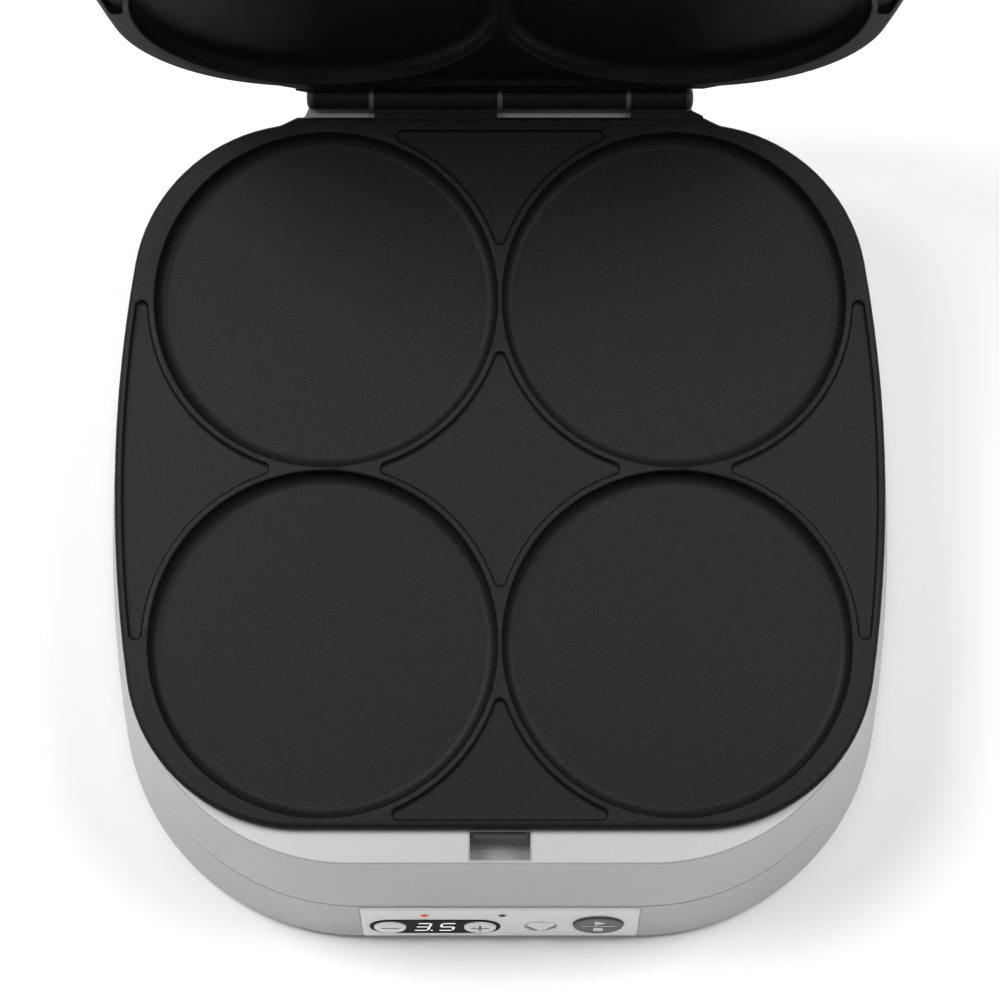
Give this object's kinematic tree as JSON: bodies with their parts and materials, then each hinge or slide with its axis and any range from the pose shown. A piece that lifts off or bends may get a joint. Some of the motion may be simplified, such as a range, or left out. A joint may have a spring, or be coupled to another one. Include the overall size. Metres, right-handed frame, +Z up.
{
  "type": "pancake maker",
  "caption": "Countertop pancake maker: hinged lid and base, each with round shallow wells in a dark plate, silver housing with a sloped front control panel and a latch recess.",
  "frame": {"origin": "below the middle of the object's overall box with the lid open, on the surface it stands on", "axes": "+X to the user's right, +Y to the back, where the hinge is, +Z up"},
  "size_m": [0.2924, 0.3456, 0.3926],
  "materials": {
    "silver_housing": "satin silver paint",
    "nonstick_casting": "matt black non-stick coating",
    "black_plastic": "fine moulded texture",
    "dark_grey_plastic": "fine moulded texture",
    "recess_grey": "satin grey",
    "panel_silver": "satin silver",
    "window_black": "polished",
    "button_silver": "satin",
    "button_white": "polished dome",
    "button_dark": "satin",
    "red_lens": "clear red lens",
    "dark_lens": "unlit lens",
    "steel": "bright",
    "galvanized_sheet": "galvanized",
    "heater_sheath": "heat-darkened",
    "circuit_board": "solder mask",
    "component_body": "moulded",
    "transformer_core": "varnished laminations",
    "white_ceramic": "glazed",
    "rubber": "matt"
  },
  "bodies": {
    "base": {"base_pan": "black_plastic", "base_screws": "steel", "board_screws": "steel", "button_switches": "component_body", "buzzer": "component_body", "control_board": "circuit_board", "control_board_screws": "steel", "cord_gland": "rubber", "display_module": "component_body", "display_window": "window_black", "filter_capacitor": "component_body", "front_left_foot": "rubber", "front_right_foot": "rubber", "heater_relay": "component_body", "hinge_pin": "steel", "hinge_washers": "dark_grey_plastic", "latch_keeper": "black_plastic", "latch_recess": "recess_grey", "lower_baking_plate": "nonstick_casting", "lower_clamp_screws": "steel", "lower_heat_shield": "galvanized_sheet", "lower_heater_clamps": "galvanized_sheet", "lower_heating_element": "heater_sheath", "lower_housing": "silver_housing", "lower_plate_screws": "steel", "lower_thermal_fuse": "white_ceramic", "panel_plate": "panel_silver", "power_board": "circuit_board", "power_lamp": "red_lens", "ready_lamp": "dark_lens", "rear_left_foot": "rubber", "rear_right_foot": "rubber", "right_hinge_cap": "black_plastic", "temperature_sensor": "steel", "terminal_block": "white_ceramic", "transformer": "transformer_core", "upper_housing": "silver_housing"},
    "lid": {"upper_baking_plate": "nonstick_casting", "upper_heating_element": "heater_sheath", "upper_heater_clamps": "galvanized_sheet", "upper_clamp_screws": "steel", "upper_heat_shield": "galvanized_sheet", "upper_shield_screws": "steel", "upper_thermal_fuse": "white_ceramic", "lid_shell": "silver_housing", "lid_shell_screws": "steel", "lid_handle": "black_plastic", "handle_screws": "steel", "latch_housing": "dark_grey_plastic", "latch_pin": "steel", "left_hinge_cap": "black_plastic"},
    "lid_latch": {"lid_latch": "dark_grey_plastic"},
    "minus_button": {"minus_button": "button_silver"},
    "plus_button": {"plus_button": "button_silver"},
    "extra_button": {"extra_button": "button_white"},
    "start_button": {"start_button": "button_dark"}
  },
  "joints": [
    {"name": "lid_hinge", "type": "hinge", "parent": "base", "child": "lid", "pos_m": [0, 0.11987, 0.0875], "axis": [1, 0, 0], "range_deg": [0, 92]},
    {"name": "latch_pivot", "type": "hinge", "parent": "lid", "child": "lid_latch", "pos_m": [0, 0.14312, 0.35235], "axis": [1, 0, 0], "range_deg": [0, 8]},
    {"name": "minus_press", "type": "slide", "parent": "base", "child": "minus_button", "axis": [0, 0.9646, -0.2638], "range_m": [0, 0.0008], "stiffness_N_per_m": 600, "springref_m": -0.002},
    {"name": "plus_press", "type": "slide", "parent": "base", "child": "plus_button", "axis": [0, 0.9646, -0.2638], "range_m": [0, 0.0008], "stiffness_N_per_m": 600, "springref_m": -0.002},
    {"name": "extra_press", "type": "slide", "parent": "base", "child": "extra_button", "axis": [0, 0.9646, -0.2638], "range_m": [0, 0.0008], "stiffness_N_per_m": 600, "springref_m": -0.002},
    {"name": "start_press", "type": "slide", "parent": "base", "child": "start_button", "axis": [0, 0.9646, -0.2638], "range_m": [0, 0.0008], "stiffness_N_per_m": 600, "springref_m": -0.002}
  ]
}
